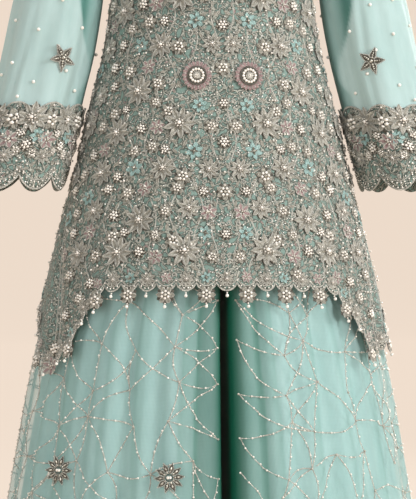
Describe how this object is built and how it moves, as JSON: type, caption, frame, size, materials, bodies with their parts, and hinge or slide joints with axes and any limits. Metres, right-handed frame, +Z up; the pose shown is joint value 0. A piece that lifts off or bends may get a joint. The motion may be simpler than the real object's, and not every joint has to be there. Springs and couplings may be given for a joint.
{
  "type": "peplum gharara set",
  "caption": "Embroidered net peplum top with sheer bell sleeves and scalloped cuffs, worn over wide divided net trousers with a satin lining and a beaded lattice",
  "frame": {"origin": "midway between the shoulders, level with the two neck points of the shoulder seams", "axes": "+Z up, the front faces -Y, the wearer's left is +X"},
  "size_m": [0.772, 0.5734, 1.4636],
  "materials": {
    "embroidery": "aqua net covered with raised beige, rose and aqua embroidery and pearls",
    "organza": "sheer aqua organza",
    "net": "sheer aqua net with a beaded lattice",
    "satin": "soft aqua satin",
    "silver": "antique silver beadwork",
    "rose": "dusty rose thread with a pearl ring"
  },
  "bodies": {
    "root": {"bodice_front": "embroidery", "bodice_back": "embroidery", "peplum_front": "embroidery", "peplum_back": "embroidery", "sleeve_left": "organza", "sleeve_right": "organza", "cuff_left": "embroidery", "cuff_right": "embroidery", "waistband": "satin", "leg_left_front": "net", "leg_left_back": "net", "leg_right_front": "net", "leg_right_back": "net", "lining_left_front": "satin", "lining_left_back": "satin", "lining_right_front": "satin", "lining_right_back": "satin", "rosette_left": "rose", "rosette_right": "rose", "star_left": "silver", "star_right": "silver", "flower_right_1": "silver", "flower_right_2": "silver", "flower_right_3": "silver", "flower_right_4": "silver", "flower_right_5": "silver", "flower_left_1": "silver", "flower_left_2": "silver", "flower_left_3": "silver", "flower_left_4": "silver"}
  },
  "joints": []
}
